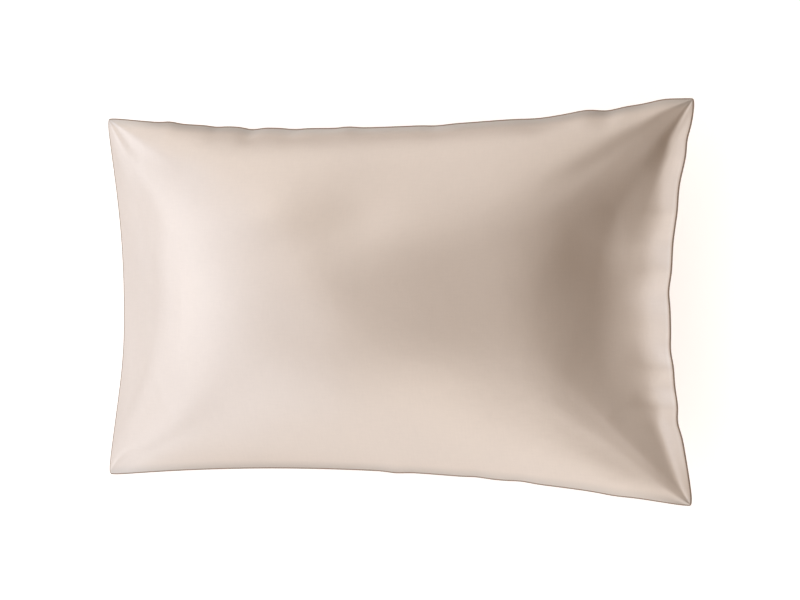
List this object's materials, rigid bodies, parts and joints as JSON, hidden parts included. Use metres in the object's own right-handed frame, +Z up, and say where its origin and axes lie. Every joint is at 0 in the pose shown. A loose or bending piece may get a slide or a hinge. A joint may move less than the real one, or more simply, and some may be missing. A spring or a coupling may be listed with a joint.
{
  "type": "filled pillowcase",
  "caption": "Satin pillowcase sewn shut round a plump pillow: a crowned soft form with drawn-in sides and pointed corners, lying on its back.",
  "frame": {"origin": "on the surface that the pillowcase rests on, under the middle of its outline", "axes": "+X along the long sides, +Y along the short sides, +Z up out of the front face"},
  "size_m": [0.7684, 0.4712, 0.1619],
  "materials": {
    "satin": "satin"
  },
  "bodies": {
    "root": {"filled_pillowcase": "satin"}
  },
  "joints": []
}
